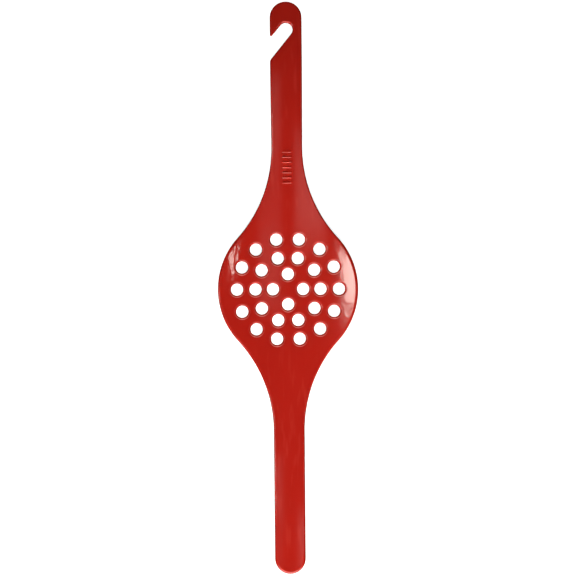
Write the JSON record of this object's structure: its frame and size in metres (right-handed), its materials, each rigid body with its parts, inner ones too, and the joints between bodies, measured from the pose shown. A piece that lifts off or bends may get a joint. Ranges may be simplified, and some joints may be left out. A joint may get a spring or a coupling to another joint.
{
  "type": "straining scoop",
  "caption": "Shallow perforated bowl between two flat handles, one with a slanted hanging slot, for straining or pressing food over a pot.",
  "frame": {"origin": "middle of the bowl's flat underside, where the scoop rests", "axes": "+Y along the handles towards the hanging slot, +Z out of the open side of the bowl, +X to the right seen from above with the slot at the top"},
  "size_m": [0.0934, 0.38, 0.015],
  "materials": {
    "red_plastic": "glossy injection-moulded, light wear on the edges and fine wiping scratches"
  },
  "bodies": {
    "root": {"strainer_body": "red_plastic"}
  },
  "joints": []
}
